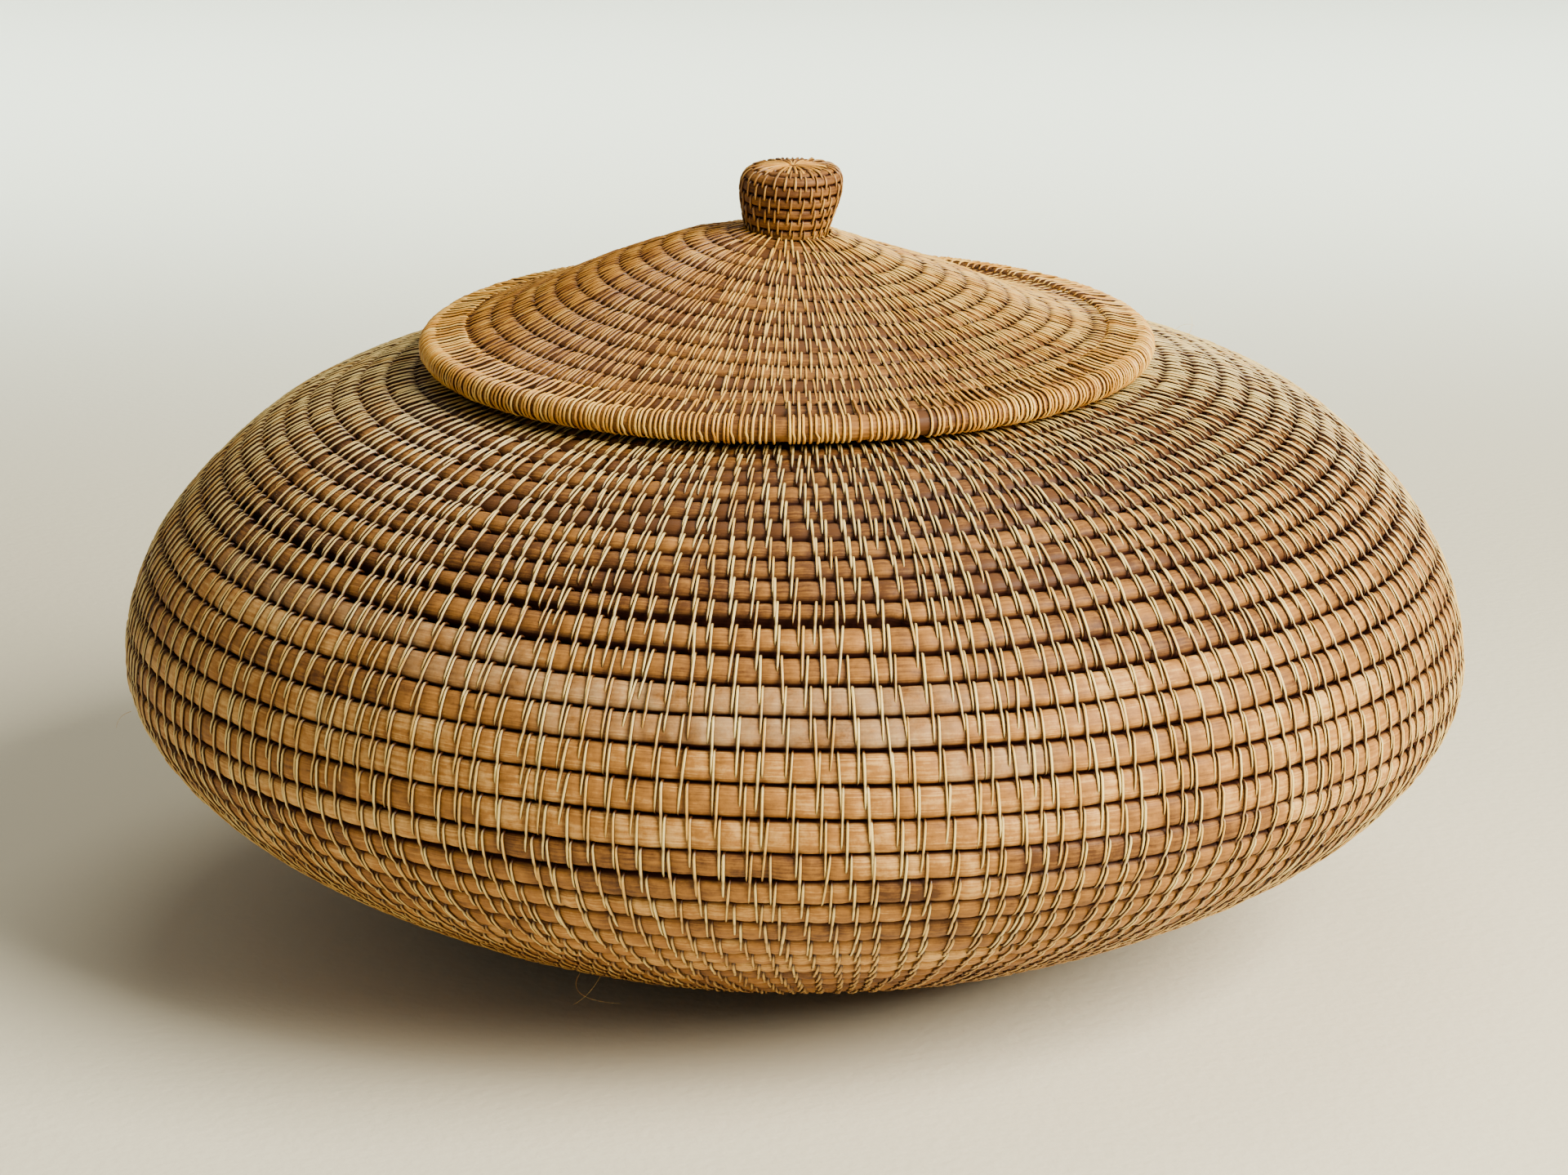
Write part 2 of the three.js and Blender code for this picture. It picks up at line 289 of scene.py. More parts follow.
def cane_material(name, dark, middle, pale, painted_shade_colour, rough, gloss):
    """Cane with fibres along its length, uneven colour, and painted shade in grooves and crevices."""
    material = bpy.data.materials.new(name)
    material.use_nodes = True
    nodes = material.node_tree.nodes
    link = material.node_tree.links.new
    surface = nodes["Principled BSDF"]
    tone = nodes.new("ShaderNodeAttribute")
    tone.attribute_name = "tone"
    depth = nodes.new("ShaderNodeAttribute")
    depth.attribute_name = "depth"
    grain_map = nodes.new("ShaderNodeUVMap")
    grain_map.uv_map = "Grain"
    stretch = nodes.new("ShaderNodeMapping")
    stretch.inputs["Scale"].default_value = (90, 1500, 1)
    fibres = nodes.new("ShaderNodeTexNoise")
    fibres.inputs["Scale"].default_value = 1
    fibres.inputs["Detail"].default_value = 3
    link(grain_map.outputs["UV"], stretch.inputs["Vector"])
    link(stretch.outputs["Vector"], fibres.inputs["Vector"])
    place = nodes.new("ShaderNodeTexCoord")
    patches = nodes.new("ShaderNodeTexNoise")
    patches.inputs["Scale"].default_value = 90
    patches.inputs["Detail"].default_value = 6
    patches.inputs["Roughness"].default_value = 0.74
    link(place.outputs["Object"], patches.inputs["Vector"])
    blend = nodes.new("ShaderNodeMath")
    blend.operation = "MULTIPLY_ADD"
    blend.inputs[1].default_value = 0.75
    link(patches.outputs["Fac"], blend.inputs[0])
    link(tone.outputs["Fac"], blend.inputs[2])
    with_fibres = nodes.new("ShaderNodeMath")
    with_fibres.operation = "MULTIPLY_ADD"
    with_fibres.inputs[1].default_value = 0.5
    link(fibres.outputs["Fac"], with_fibres.inputs[0])
    link(blend.outputs["Value"], with_fibres.inputs[2])
    colours = nodes.new("ShaderNodeValToRGB")
    colours.color_ramp.elements[0].position = 0.50
    colours.color_ramp.elements[0].color = (*dark, 1)
    colours.color_ramp.elements[1].position = 1.0
    colours.color_ramp.elements[1].color = (*pale, 1)
    middle_stop = colours.color_ramp.elements.new(0.78)
    middle_stop.color = (*middle, 1)
    link(with_fibres.outputs["Value"], colours.inputs["Fac"])
    wear = nodes.new("ShaderNodeAttribute")
    wear.attribute_name = "wear"
    rubbed = nodes.new("ShaderNodeMapRange")
    rubbed.inputs["From Min"].default_value = 0.35
    rubbed.inputs["From Max"].default_value = 0.62
    link(patches.outputs["Fac"], rubbed.inputs["Value"])
    link(wear.outputs["Fac"], rubbed.inputs["To Max"])
    greyed = nodes.new("ShaderNodeMix")
    greyed.data_type = "RGBA"
    greyed.inputs["B"].default_value = (0.40, 0.30, 0.17, 1)
    link(rubbed.outputs["Result"], greyed.inputs["Factor"])
    link(colours.outputs["Color"], greyed.inputs["A"])
    # Painted shade: where the depth attribute is high, the colour is mixed towards a dark shade colour.
    painted_shade_mask = nodes.new("ShaderNodeMapRange")
    painted_shade_mask.inputs["From Min"].default_value = 0.07
    painted_shade_mask.inputs["From Max"].default_value = 0.36
    link(depth.outputs["Fac"], painted_shade_mask.inputs["Value"])
    painted_shade_mix = nodes.new("ShaderNodeMix")
    painted_shade_mix.data_type = "RGBA"
    painted_shade_mix.inputs["B"].default_value = (*painted_shade_colour, 1)
    link(painted_shade_mask.outputs["Result"], painted_shade_mix.inputs["Factor"])
    link(greyed.outputs["Result"], painted_shade_mix.inputs["A"])
    link(painted_shade_mix.outputs["Result"], surface.inputs["Base Color"])
    sheen = nodes.new("ShaderNodeMapRange")
    sheen.inputs["To Min"].default_value = rough
    sheen.inputs["To Max"].default_value = rough + 0.25
    link(fibres.outputs["Fac"], sheen.inputs["Value"])
    link(sheen.outputs["Result"], surface.inputs["Roughness"])
    bump = nodes.new("ShaderNodeBump")
    bump.inputs["Strength"].default_value = 0.5
    bump.inputs["Distance"].default_value = 0.0004
    link(fibres.outputs["Fac"], bump.inputs["Height"])
    link(bump.outputs["Normal"], surface.inputs["Normal"])
    surface.inputs["Specular IOR Level"].default_value = gloss
    surface.inputs["Coat Weight"].default_value = gloss / 4
    surface.inputs["Coat Roughness"].default_value = 0.3
    return material


wall_line = curve_through([
    (FLOOR_RADIUS, FLOOR_LINE_HEIGHT),
    (0.1175, 0.0155),
    (0.1672, 0.040),
    (0.1946, 0.063),
    (0.2061, 0.088),
    (0.1972, 0.1226),
    (0.1683, 0.1546),
    (0.1361, 0.1708),
    (0.1089, 0.1771),
    (0.09545, 0.1771),
])
wall_length = line_lengths(wall_line)[-1]
floor_line = np.stack([np.linspace(0, FLOOR_RADIUS, 80), np.full(80, FLOOR_LINE_HEIGHT)], axis=1)
body_coil = Coil(
    np.concatenate([floor_line[:-1], wall_line]),
    [(0, 0), (FLOOR_START_COURSES, FLOOR_START_RADIUS), (FLOOR_COURSES, FLOOR_RADIUS), (20, 0.1905),
     (22, 0.2109), (25, 0.2378), (29, 0.2775), (32, 0.3063), (34, 0.3221), (37, 0.3456), (41, 0.3806),
     (BODY_COURSES, FLOOR_RADIUS + wall_length)],
    crest=0.0009, depth=0.0072,
)
core_finish = cane_material(
    "Cane core", dark=(0.095, 0.033, 0.006), middle=(0.38, 0.161, 0.029), pale=(0.77, 0.44, 0.13),
    painted_shade_colour=(0.032, 0.006, 0.001), rough=0.50, gloss=0.20,
)
floor_pieces = [
    ("floor_start_core", "floor_start_coil", -0.5, FLOOR_START_COURSES, 0.05),
    ("floor_outer_core", "floor_outer_coil", FLOOR_START_COURSES, FLOOR_COURSES, 0.1),
]
for name, node, first, last, shade in floor_pieces:
    piece = wind_core(name, body_coil, first, last, shade, seed=int(last * 7))
    piece.data.materials.append(core_finish)
    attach(piece, "basket")
    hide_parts(node)


# The wall
# Twelve lengths of the same core are laid end to end from the edge of the floor round the belly
# to the level courses under the lid, and swell a little between the strips that squeeze them.
# In front some are stained or rubbed grey, and some gaps are wide.
# Each length has its own tone. The top three are darker, as painted shade on the shoulder under the lid.
LENGTH_SHADES = [0.08, 0.02, 0.06, 0.06, 0.12, 0.10, 0.16, 0.12, 0.03, -0.04, -0.07, -0.08]
# The darkening from course 32.5 to 32.7 is painted shade beside the wide gap there.
# Each stretch is given by the courses where it starts and ends, and by how much it changes.
STAINS = [(24.485, 24.57, -0.17), (23.465, 23.487, -0.26), (24.38, 24.455, -0.20), (25.40, 25.43, -0.15),
          (32.5, 32.7, -0.06), (36.45, 36.7, -0.10)]
THIN_STRETCHES = [(7.5, 25.3, 0.05), (31.5, 31.68, 0.08), (32.47, 32.7, 0.26), (33.52, 33.6, 0.06),
                  (28.4, 28.55, 0.04), (24.5, 24.68, 0.08)]
WORN_STRETCHES = [(28.46, 28.56, 0.30), (28.47, 28.53, 0.20), (29.455, 29.6, 0.30), (29.47, 29.55, 0.20),
                  (30.56, 30.68, 0.35), (27.44, 27.47, 0.4)]
# The lengths from here up are of rounder core.
ROUND_LENGTHS = 9
ROUND_SQUARENESS = 2.5
length_ends = [body_coil.course_at(FLOOR_RADIUS + wall_length * number / len(LENGTH_SHADES))
               for number in range(len(LENGTH_SHADES) + 1)]
length_ends[-1] = BODY_COURSES + 0.45


def lay_stitches(coil, first, last, spacings, drift, seed):
    """Course numbers of the stitches. Each lies a share of a gap, the drift, on from the one below."""
    chance = np.random.default_rng(seed)
    radii, gaps = zip(*spacings)
    placed = [first]
    below = 0
    while placed[-1] < last:
        here = placed[-1]
        around = 2 * math.pi * max(float(coil.radius(here)), 0.004)
        gap = float(np.interp(around / (2 * math.pi), radii, gaps)) / around
        while below < len(placed) and placed[below] + 1 < here + 0.55 * gap:
            below += 1
        step = here + gap * chance.uniform(0.86, 1.14)
        if below < len(placed):
            beside = placed[below] + 1 + drift * gap * chance.uniform(0.7, 1.3)
            if here + 0.55 * gap < beside < here + 1.5 * gap:
                step = beside
        placed.append(step)
    return np.array(placed)


# Each spacing is a radius of the coil and the gap between stitches there.
BODY_SPACINGS = [(0.0, 0.0024), (0.020, 0.0026), (0.115, 0.0038), (0.206, 0.0060)]
body_stitches = lay_stitches(body_coil, 1.3, BODY_COURSES + 0.3, BODY_SPACINGS, drift=0.18, seed=11)
for number, shade in enumerate(LENGTH_SHADES, start=1):
    piece = wind_core(f"wall_core_{number:02d}", body_coil, length_ends[number - 1], length_ends[number],
                      shade, seed=100 + number, step=0.0016, dark_stretches=STAINS, thin=THIN_STRETCHES,
                      wear=WORN_STRETCHES, stitches=body_stitches,
                      squareness=ROUND_SQUARENESS if number >= ROUND_LENGTHS else CORE_SQUARENESS)
    piece.data.materials.append(core_finish)
    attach(piece, "basket")
    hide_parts(f"wall_length_{number:02d}")


# The sewing
# Narrow strips of glossy split cane hold each course to the one below it. A strip comes out above
# a course, runs down over it and the next one, and goes in beside the stitch that starts there.
STITCH_WIDTH = 0.00095
STITCH_STAND = 0.0006
# Each row is how far up the strip is, in courses, how far it stands off the crest of the core and
# how far it lies to the right, both in millimetres, and its share of the full width. Minus means
# down, inwards or to the left. The rows are drawn for a course of this height:
PATH_COURSE = 0.0087
MILLIMETRE = 0.001
STRIP_SECTION = np.array([(-0.5, 0), (-0.36, 0.78), (0, 1), (0.36, 0.78), (0.5, 0)])
INSIDE_SECTION = np.array([(-0.5, 0), (-0.25, 1), (0.25, 1), (0.5, 0)])
OUTER_PATH = np.array([
    (0.50, -2.40, 0.15, 0.80),
    (0.47, -1.20, 0.12, 0.95),
    (0.41, -0.50, 0.08, 1.00),
    (0.28, -0.20, 0.04, 1.00),
    (0.00, -0.18, -0.02, 1.00),
    (-0.30, -0.22, -0.10, 1.00),
    (-0.50, -0.58, -0.15, 0.98),
    (-0.70, -0.24, -0.20, 0.93),
    (-1.00, -0.22, -0.28, 0.84),
    (-1.24, -0.34, -0.34, 0.72),
    (-1.40, -0.80, -0.38, 0.60),
    (-1.48, -2.00, -0.40, 0.45),
])


def sew(name, coil, courses, path, width, stand, seed, inside=False, shade=0.12,
        short=(0.45, 0.55, 0.85), painted_left_shade=0.0):
    """Stitches as one mesh. A share of them stops short below; those on the left may be painted darker, as
    painted shade.
    """
    chance = np.random.default_rng(seed)
    count = len(courses)
    scale = float(np.mean(coil.pitch(courses))) / PATH_COURSE
    down = np.repeat(path[None, :, 0], count, axis=0)
    reach = np.where(chance.random(count) < short[0], chance.uniform(short[1], short[2], count), 1.0)
    down = np.where(down < -0.5, -0.5 + (down + 0.5) * reach[:, None], down)
    out = path[None, :, 1] * MILLIMETRE * scale + chance.normal(0, 0.00007, (count, 1))
    lean = chance.normal(0, 0.035, (count, 1))
    side = path[None, :, 2] * MILLIMETRE * scale * chance.uniform(0.5, 1.3, (count, 1))
    side = side + lean * down * PATH_COURSE * scale
    thickness = stand * chance.uniform(0.8, 1.15, (count, 1)) * np.minimum(1, path[None, :, 3] + 0.1)
    breadth = width * path[None, :, 3] * chance.uniform(0.85, 1.15, (count, 1))
    if inside:
        base = coil.crest - coil.depth - out
    else:
        base = coil.crest + out
    advance = np.gradient(path[:, 0]) * PATH_COURSE * scale
    rise = np.gradient(path[:, 1]) * MILLIMETRE * scale
    size = np.hypot(advance, rise)
    normal_out = -advance / size
    normal_forward = rise / size
    corners = STRIP_SECTION
    if inside:
        normal_out = -normal_out
        corners = INSIDE_SECTION
    across = corners[None, None, :, 0] * breadth[:, :, None]
    up = corners[None, None, :, 1] * thickness[:, :, None]
    course = np.clip(courses[:, None] + down, coil.first, coil.last)
    radius = np.maximum(coil.radius(course), 0.003)
    azimuth = azimuth_of(courses)[:, None, None] + (side[:, :, None] + across) / radius[:, :, None]
    canes = coil.place(
        np.repeat(course[:, :, None], len(corners), axis=2), azimuth,
        up * normal_forward[None, :, None], base[:, :, None] + up * normal_out[None, :, None],
    )
    tone = chance.normal(shade, 0.07, (count, 1, 1))
    # Painted shade: strips on the left side of the coil are darkened.
    tone = tone - painted_left_shade * np.clip(-np.cos(azimuth_of(courses)), 0, 1)[:, None, None]
    # Painted shade on the depth attribute: the strips are darker at their sides and where they dip into the
    # gaps between courses.
    sunk = np.clip(-path[:, 1] / 2.6, 0, 1)[None, :, None] * 0.9
    edge = np.array([1 - corner[1] for corner in corners])[None, None, :]
    return cane_mesh(name, canes, tone, np.clip(sunk + edge * 0.5, 0, 1))


strip_finish = cane_material(
    "Split cane strip", dark=(0.38, 0.160, 0.016), middle=(0.78, 0.44, 0.08),
    pale=(1.0, 0.76, 0.25), painted_shade_colour=(0.055, 0.015, 0.001), rough=0.28, gloss=0.45,
)
INNER_PATH = OUTER_PATH[[0, 2, 4, 6, 8, 10]]
groups = zip([0, *length_ends[:-1]], length_ends)
STRIP_SHADES = [0.0, 0.0, -0.04, -0.02, 0.04, 0.16, 0.23, 0.25, 0.27, 0.30, 0.33, 0.34, 0.34]
# Up to this length, and above it: the share of strips that stop short below, and how far those
# reach at least and at most.
LOW_LENGTHS = 5
LOW_SHORT = (0.90, 0.20, 0.50)
HIGH_SHORT = (0.65, 0.60, 0.92)
for number, (first, last) in enumerate(groups):
    chosen = body_stitches[(body_stitches >= first) & (body_stitches < last)]
    outer = sew(f"wall_stitches_{number:02d}", body_coil, chosen, OUTER_PATH, STITCH_WIDTH,
                STITCH_STAND, seed=200 + number, shade=STRIP_SHADES[number],
                short=LOW_SHORT if number <= LOW_LENGTHS else HIGH_SHORT)
    inner = sew(f"inner_stitches_{number:02d}", body_coil, chosen, INNER_PATH, STITCH_WIDTH,
                STITCH_STAND, seed=300 + number, inside=True)
    for piece in (outer, inner):
        piece.data.materials.append(strip_finish)
        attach(piece, "basket")


# Loose fibres
# A few hairs of cane have split off the strips and stand away from the wall. Each is given by
# where it starts, where it bends and where it ends.
FIBRE_THICKNESS = 0.00016
FIBRES = np.array([
    [(-0.0620, -0.1060, 0.0165), (-0.0680, -0.1130, 0.0100), (-0.0500, -0.1130, 0.0090)],
    [(-0.0560, -0.1080, 0.0165), (-0.0590, -0.1150, 0.0120), (-0.0640, -0.1140, 0.0090)],
    [(-0.2040, -0.0300, 0.0720), (-0.2080, -0.0310, 0.0710), (-0.2085, -0.0310, 0.0670)],
    [(0.1180, 0.0500, 0.1745), (0.1210, 0.0500, 0.1810), (0.1260, 0.0500, 0.1790)],
    [(0.1220, 0.0480, 0.1735), (0.1270, 0.0480, 0.1800), (0.1240, 0.0480, 0.1830)],
])
fibre_share = np.linspace(0, 1, 14)[None, :, None]
fibre_line = FIBRES[:, :1] * (1 - fibre_share) ** 2
fibre_line = fibre_line + 2 * FIBRES[:, 1:2] * fibre_share * (1 - fibre_share)
fibre_line = fibre_line + FIBRES[:, 2:] * fibre_share ** 2
fibre_turns = np.arange(5) * 2 * math.pi / 5
fibre_round = np.stack([np.cos(fibre_turns), 0.7 * np.cos(fibre_turns), np.sin(fibre_turns)], axis=-1)
fibre_taper = FIBRE_THICKNESS / 2 * (1 - 0.6 * fibre_share)[..., None]
fibre_canes = fibre_line[:, :, None] + fibre_round[None, None] * fibre_taper
fibres = cane_mesh("loose_fibres", fibre_canes, 0.2, 0.0)
fibres.data.materials.append(strip_finish)
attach(fibres, "basket")


# The mouth
# A thicker coil ends the wall. Strips are bound closely round it, so its edge is smooth to the
# hand and strong enough to carry the lid's ring.
SEAT_HEIGHT = 0.179066
MOUTH_CORE_RADIUS = 0.0037
MOUTH_MIDDLE_RADIUS = 0.09105
MOUTH_MIDDLE_HEIGHT = SEAT_HEIGHT - 0.0046
MOUTH_STRIP_WIDTH = 0.0013
MOUTH_STRIP_GAP = 0.00150


def bind(name, outline, middle, places, width, stand, seed, closed):
    """Strips bound over a thick coil, along an outline of radii, heights and shares of width."""
    chance = np.random.default_rng(seed)
    count = len(places)
    run = outline[:, :2]
    if closed:
        tangent = np.roll(run, -1, axis=0) - np.roll(run, 1, axis=0)
    else:
        tangent = np.gradient(run, axis=0)
    tangent = tangent / np.hypot(tangent[:, 0], tangent[:, 1])[:, None]
    shape = np.array([(-0.5, 0), (-0.36, 0.75), (0, 1), (0.36, 0.75), (0.5, 0)])
    taper = outline[None, :, 2, None]
    breadth = width * chance.uniform(0.88, 1.08, (count, 1, 1)) * shape[None, None, :, 0] * taper
    height = stand * chance.uniform(0.8, 1.15, (count, 1, 1)) * shape[None, None, :, 1]
    height = height * np.minimum(1, taper + 0.1) + chance.normal(0, 0.00007, (count, 1, 1))
    slant = np.linspace(-0.5, 0.5, len(run))[None, :] * chance.normal(0.0003, 0.0003, (count, 1))
    radius = run[None, :, 0, None] + tangent[None, :, 1, None] * height
    z = run[None, :, 1, None] - tangent[None, :, 0, None] * height
    azimuth = places[:, None, None] + (breadth + slant[:, :, None]) / radius
    canes = sag(np.stack([middle[0] + radius * np.cos(azimuth),
                          middle[1] + radius * np.sin(azimuth), z], axis=-1))
    tone = chance.normal(0.22, 0.07, (count, 1, 1))
    # Painted shade: the bound strips are darker along their sides.
    edge = np.array([1 - corner[1] for corner in shape])[None, None, :]
    return cane_mesh(name, canes, tone, edge * 0.55, looped=closed)


def round_outline(ring_radius, ring_height, tube_radius, stations, start=0.0, end=2 * math.pi):
    """An outline round a coil seen end on, from one angle to another."""
    full = end - start >= 2 * math.pi - 0.001
    angles = np.linspace(start, end, stations, endpoint=not full)
    return np.stack([ring_radius + tube_radius * np.cos(angles),
                     ring_height + tube_radius * np.sin(angles), np.ones(stations)], axis=1)


def ring_core(name, ring_radius, ring_height, tube_radius, middle, shade, seed, dark_stretches=()):
    """A closed round of thick core."""
    chance = np.random.default_rng(seed)
    rings = int(2 * math.pi * ring_radius / 0.003)
    azimuth = np.arange(rings) * 2 * math.pi / rings
    angles = (np.arange(16) + 0.5) * 2 * math.pi / 16
    travel = azimuth * ring_radius
    size = tube_radius * (1 + 0.02 * np.sin(azimuth * 17 + chance.random()))[:, None]
    radius = ring_radius + size * np.cos(angles)
    z = ring_height + size * np.sin(angles)
    canes = sag(np.stack([middle[0] + radius * np.cos(azimuth)[:, None],
                          middle[1] + radius * np.sin(azimuth)[:, None], z], axis=-1))[None]
    tone = shade + 0.12 * np.sin(azimuth * 5) * np.cos(travel * 40)
    for start, end, amount in dark_stretches:
        tone = tone + amount * ((azimuth > start) & (azimuth < end))
    return cane_mesh(name, canes, tone[None, :, None], np.zeros((1, 1, 16)), looped=True)


def bound_places(ring_radius, gap, seed, gaps=(), spread=0.15):
    """Azimuths of strips bound side by side, leaving the named gaps open."""
    chance = np.random.default_rng(seed)
    places = []
    azimuth = 0.0
    while azimuth < 2 * math.pi - 0.6 * gap / ring_radius:
        if not any(start < azimuth < end for start, end in gaps):
            places.append(azimuth)
        azimuth += gap / ring_radius * chance.uniform(1 - spread, 1 + spread)
    return np.array(places)


mouth_core = ring_core("mouth_core", MOUTH_MIDDLE_RADIUS, MOUTH_MIDDLE_HEIGHT, MOUTH_CORE_RADIUS,
                       (0, 0), 0.05, seed=5)
mouth_core.data.materials.append(core_finish)
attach(mouth_core, "basket")
mouth_outline = round_outline(MOUTH_MIDDLE_RADIUS, MOUTH_MIDDLE_HEIGHT, MOUTH_CORE_RADIUS, 15)
mouth_places = bound_places(0.095, MOUTH_STRIP_GAP, seed=6)
mouth_binding = bind("mouth_binding", mouth_outline, (0, 0), mouth_places, MOUTH_STRIP_WIDTH,
                     STITCH_STAND, seed=7, closed=True)
mouth_binding.data.materials.append(strip_finish)
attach(mouth_binding, "basket")
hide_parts("mouth_rim")


# The lid's dome
# The lid is coiled from finer core and sewn with redder strips; those on the left are painted
# darker, as painted shade. By hand it came out a little fuller on the left, and hollow before the
# rim at the back on the right. It lies loose on the seat, three millimetres to the left of the
# middle.
LID_MIDDLE = (-0.0033, 0.0, SEAT_HEIGHT)
LID_COURSES = 14
LID_COURSES_PER_LENGTH = 4
lid_line = curve_through([
    (0.1054, 0.0080),
    (0.083, 0.0149),
    (0.0587, 0.0241),
    (0.0337, 0.0330),
    (0.0132, 0.0391),
])
LEFT_FULLNESS = [(0.0, 0.0006), (0.014, 0.001), (0.0337, 0.0034), (0.0587, 0.0030), (0.083, 0.0014),
                 (0.103, 0.0)]
BACK_HOLLOW = [(0.060, 0.0), (0.078, 0.0022), (0.091, 0.0028), (0.104, 0.0)]
lid_coil = Coil(
    lid_line, [(0, 0), (LID_COURSES, line_lengths(lid_line)[-1])],
    crest=0.0007, depth=0.0046, middle=LID_MIDDLE, fullness=LEFT_FULLNESS,
    hollow=(math.radians(50), BACK_HOLLOW),
)
lid_strip_finish = cane_material(
    "Lid strip", dark=(0.28, 0.098, 0.006), middle=(0.71, 0.320, 0.028), pale=(1.0, 0.62, 0.13),
    painted_shade_colour=(0.05, 0.013, 0.001), rough=0.30, gloss=0.35,
)
LID_SHADES = [-0.10, -0.10, -0.11, -0.14]
LID_STITCH_WIDTH = 0.0009
# How much the strips on the left of the lid are darkened, as painted shade.
LID_LEFT_SHADE = 0.25
LID_SPACINGS = [(0.013, 0.0022), (0.040, 0.0024), (0.075, 0.0028), (0.103, 0.0031)]
lid_stitches = lay_stitches(lid_coil, 1.3, LID_COURSES + 0.4, LID_SPACINGS, drift=0.32, seed=21)
for number, shade in enumerate(LID_SHADES, start=1):
    first = (number - 1) * LID_COURSES_PER_LENGTH
    last = min(first + LID_COURSES_PER_LENGTH, LID_COURSES)
    wound_from = first - 0.45 if number == 1 else first
    wound_to = last + 0.45 if last == LID_COURSES else last
    core = wind_core(f"lid_core_{number}", lid_coil, wound_from, wound_to, shade, seed=400 + number)
    core.data.materials.append(core_finish)
    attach(core, "lid")
    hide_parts(f"lid_length_{number}")
    chosen = lid_stitches[(lid_stitches >= wound_from) & (lid_stitches < wound_to)]
    outer = sew(f"lid_stitches_{number}", lid_coil, chosen, OUTER_PATH, LID_STITCH_WIDTH,
                STITCH_STAND, seed=410 + number, shade=0.30, painted_left_shade=LID_LEFT_SHADE)
    inner = sew(f"lid_inner_stitches_{number}", lid_coil, chosen, INNER_PATH, LID_STITCH_WIDTH,
                STITCH_STAND, seed=420 + number, inside=True)
    for piece in (outer, inner):
        piece.data.materials.append(lid_strip_finish)
        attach(piece, "lid")


# The lid's rim
# A thick core edges the lid. A strip is bound round it, and every second turn runs on over the
# first course of the dome. Its turns are spread unevenly, so that the core shows between them,
# and one gap, where a new strip was let in, has its core painted dark as shade in the hole.
RIM_MIDDLE_RADIUS = 0.1085
RIM_MIDDLE_HEIGHT = SEAT_HEIGHT + 0.0054
RIM_CORE_RADIUS = 0.0036
# Where the core lies open, from one azimuth to another.
RIM_SPLICE = (5.062, 5.094)
RIM_BARE = [(4.703, 4.722), (4.885, 4.902), (4.912, 4.928)]
RIM_STRIP_WIDTH = 0.00104
RIM_STRIP_GAP = 0.00172
RIM_STRIP_STAND = 0.0007
# The core in the splice gap is painted dark, as painted shade in the open hole.
rim_core = ring_core("rim_core", RIM_MIDDLE_RADIUS, RIM_MIDDLE_HEIGHT, RIM_CORE_RADIUS, LID_MIDDLE,
                     0.0, seed=8, dark_stretches=[(*RIM_SPLICE, -0.5)])
rim_core.data.materials.append(core_finish)
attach(rim_core, "lid")
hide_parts("lid_rim_core")
rim_places = bound_places(0.1127, RIM_STRIP_GAP, seed=9, gaps=[RIM_SPLICE, *RIM_BARE], spread=0.38)
rim_round = round_outline(RIM_MIDDLE_RADIUS, RIM_MIDDLE_HEIGHT, RIM_CORE_RADIUS, 15)
rim_binding = bind("rim_binding", rim_round, LID_MIDDLE, rim_places[1::2], RIM_STRIP_WIDTH,
                   RIM_STRIP_STAND, seed=10, closed=True)
over_rim = round_outline(RIM_MIDDLE_RADIUS, RIM_MIDDLE_HEIGHT, RIM_CORE_RADIUS, 13, start=-2.4, end=1.5)
over_course = np.array([
    (0.1050, 0.0095, 1.00),
    (0.1030, 0.0099, 1.00),
    (0.1008, 0.0105, 1.00),
    (0.0990, 0.0106, 0.90),
    (0.0976, 0.0098, 0.60),
])
over_course = over_course + np.array([0, SEAT_HEIGHT, 0])
rim_over = bind("rim_over_binding", np.concatenate([over_rim, over_course]), LID_MIDDLE,
                rim_places[0::2], RIM_STRIP_WIDTH, RIM_STRIP_STAND, seed=16, closed=False)
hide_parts("lid_rim_wrap")
for piece in (rim_binding, rim_over):
    piece.data.materials.append(lid_strip_finish)
    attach(piece, "lid")


# The ring under the lid
# An upright coil is sewn to the underside. It drops into the mouth with a few millimetres to
# spare, and keeps the loose lid from sliding off.
ring_line = curve_through([(0.0807, -0.012), (0.0807, 0.0), (0.0807, 0.0128)])
ring_coil = Coil(
    ring_line, [(0, 0), (4, line_lengths(ring_line)[-1])],
    crest=0.0, depth=0.0045, middle=LID_MIDDLE,
)
ring_core_piece = wind_core("inner_ring_core", ring_coil, -0.45, 4.45, 0.04, seed=12)
ring_core_piece.data.materials.append(core_finish)
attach(ring_core_piece, "lid")
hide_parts("lid_inner_ring")
RING_SPACINGS = [(0.08, 0.0032), (0.081, 0.0032)]
RING_STITCH_STAND = 0.0007
ring_stitches = lay_stitches(ring_coil, 0.2, 4.3, RING_SPACINGS, drift=0.31, seed=13)
ring_outer = sew("inner_ring_stitches", ring_coil, ring_stitches, OUTER_PATH, LID_STITCH_WIDTH,
                 RING_STITCH_STAND, seed=14)
ring_inner = sew("inner_ring_back_stitches", ring_coil, ring_stitches, INNER_PATH, LID_STITCH_WIDTH,
                 STITCH_STAND, seed=15, inside=True)
for piece in (ring_outer, ring_inner):
    piece.data.materials.append(strip_finish)
    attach(piece, "lid")


